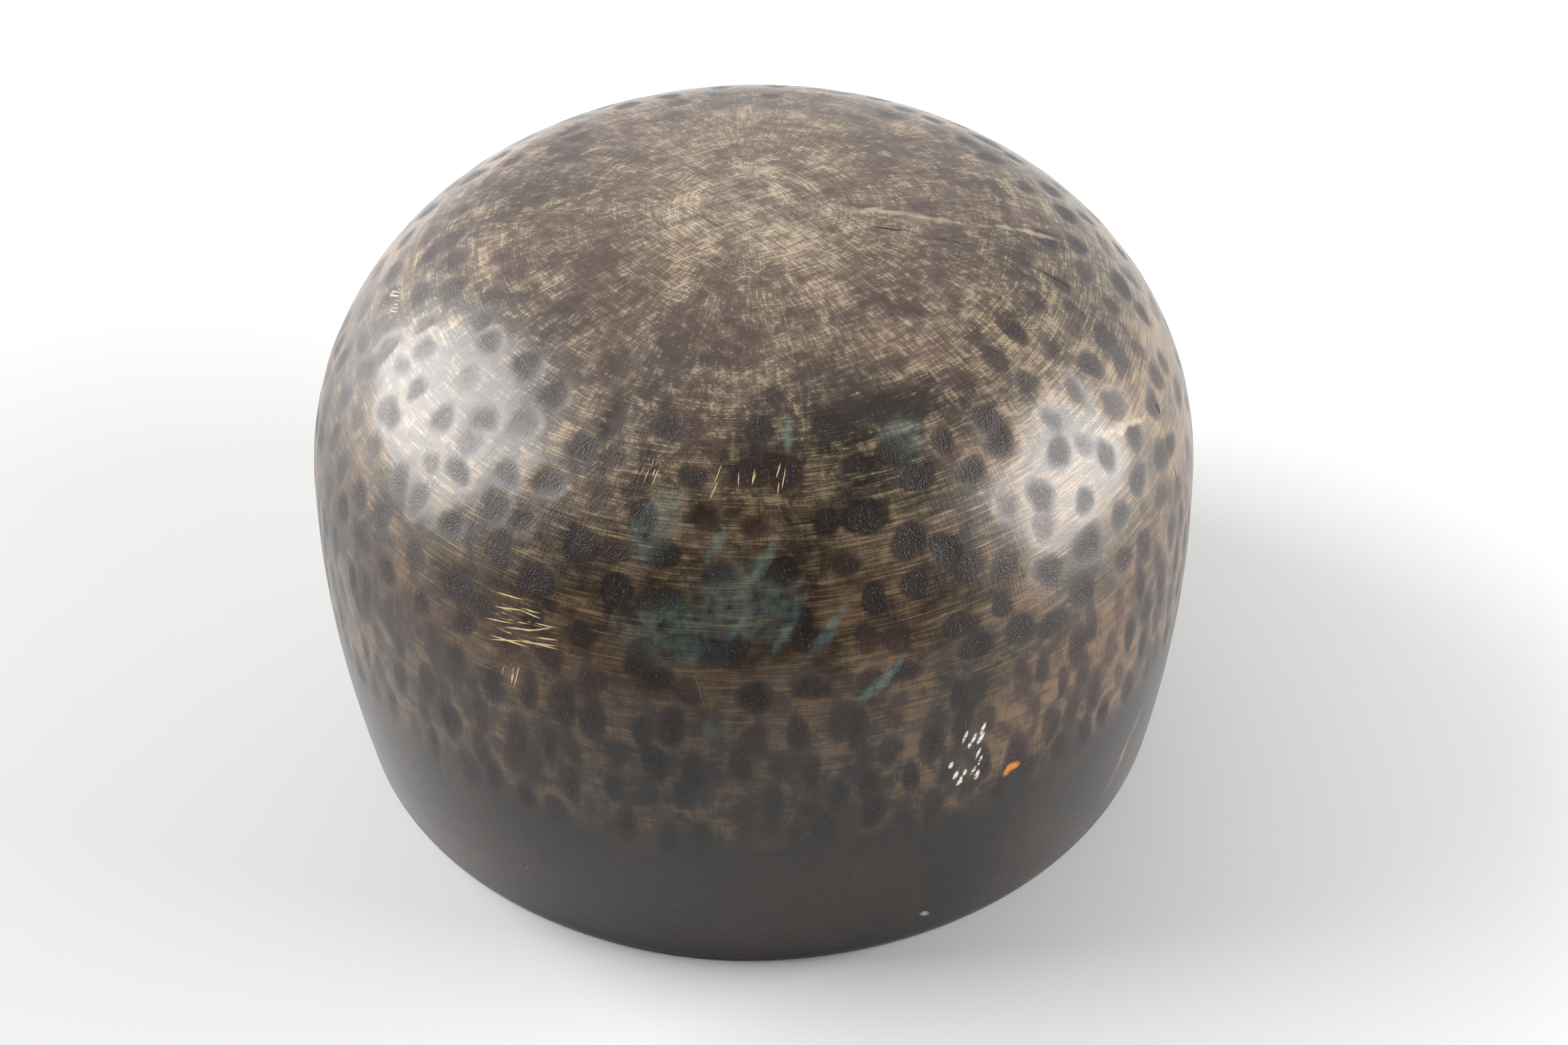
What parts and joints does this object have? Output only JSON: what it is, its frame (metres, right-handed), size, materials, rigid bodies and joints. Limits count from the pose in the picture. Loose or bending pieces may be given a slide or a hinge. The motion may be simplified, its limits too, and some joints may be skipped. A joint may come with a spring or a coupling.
{
  "type": "hammered metal bowl",
  "caption": "Deep round hand-hammered bowl with a domed base and a plain flat lip, stored standing mouth down; holds things or rings when struck.",
  "frame": {"origin": "centre of the lip's plane, on the surface that the bowl stands on", "axes": "+Z along the bowl's axis from the lip up to the crown; +X and +Y lie in the lip's plane, and -Y is the front"},
  "size_m": [0.26, 0.26, 0.173],
  "materials": {
    "patinated_metal": "hand-hammered, satin dark brown patina, worn golden on the high ground"
  },
  "bodies": {
    "root": {"bowl": "patinated_metal"}
  },
  "joints": []
}
